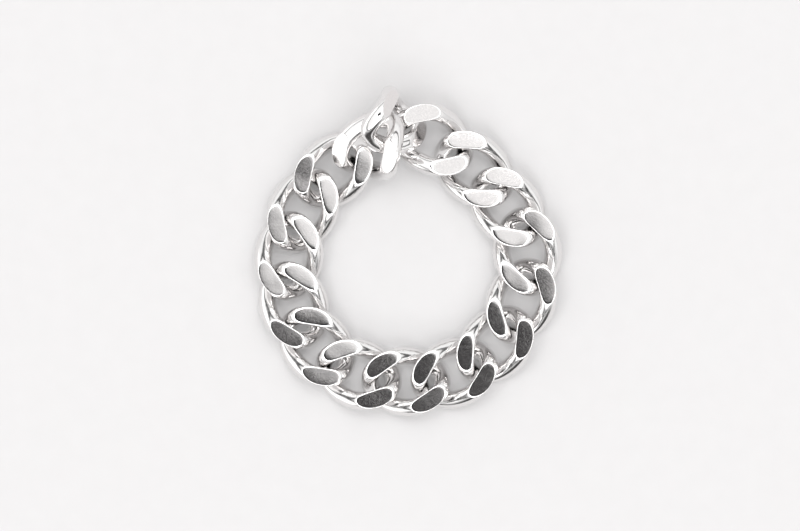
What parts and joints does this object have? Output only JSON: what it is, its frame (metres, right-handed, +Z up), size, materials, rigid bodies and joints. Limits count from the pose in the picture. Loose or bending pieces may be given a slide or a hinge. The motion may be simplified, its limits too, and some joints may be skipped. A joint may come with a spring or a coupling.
{
  "type": "chain link ring",
  "caption": "Finger ring made of a closed loop of curb chain with filed, twisted links; it lies flat, kinked where neighbouring links stand up.",
  "frame": {"origin": "on the axis of the finger hollow, at the level of the surface the ring lies on", "axes": "+Z up out of the finger hollow, along its axis; +Y towards the kinked stretch of the chain, where one link stands up; +X to the right as seen from above with +Y away"},
  "size_m": [0.0258, 0.0276, 0.0071],
  "materials": {
    "polished_steel": "mirror-polished round wire, with filed flats in a fine satin polish"
  },
  "bodies": {
    "root": {"link_01": "polished_steel", "link_02": "polished_steel", "link_03": "polished_steel", "link_04": "polished_steel", "link_05": "polished_steel", "link_06": "polished_steel", "link_07": "polished_steel", "link_08": "polished_steel", "link_09": "polished_steel", "link_10": "polished_steel", "link_11": "polished_steel", "link_12": "polished_steel", "link_13": "polished_steel", "link_14": "polished_steel", "squeezed_link": "polished_steel", "popped_link": "polished_steel"}
  },
  "joints": []
}
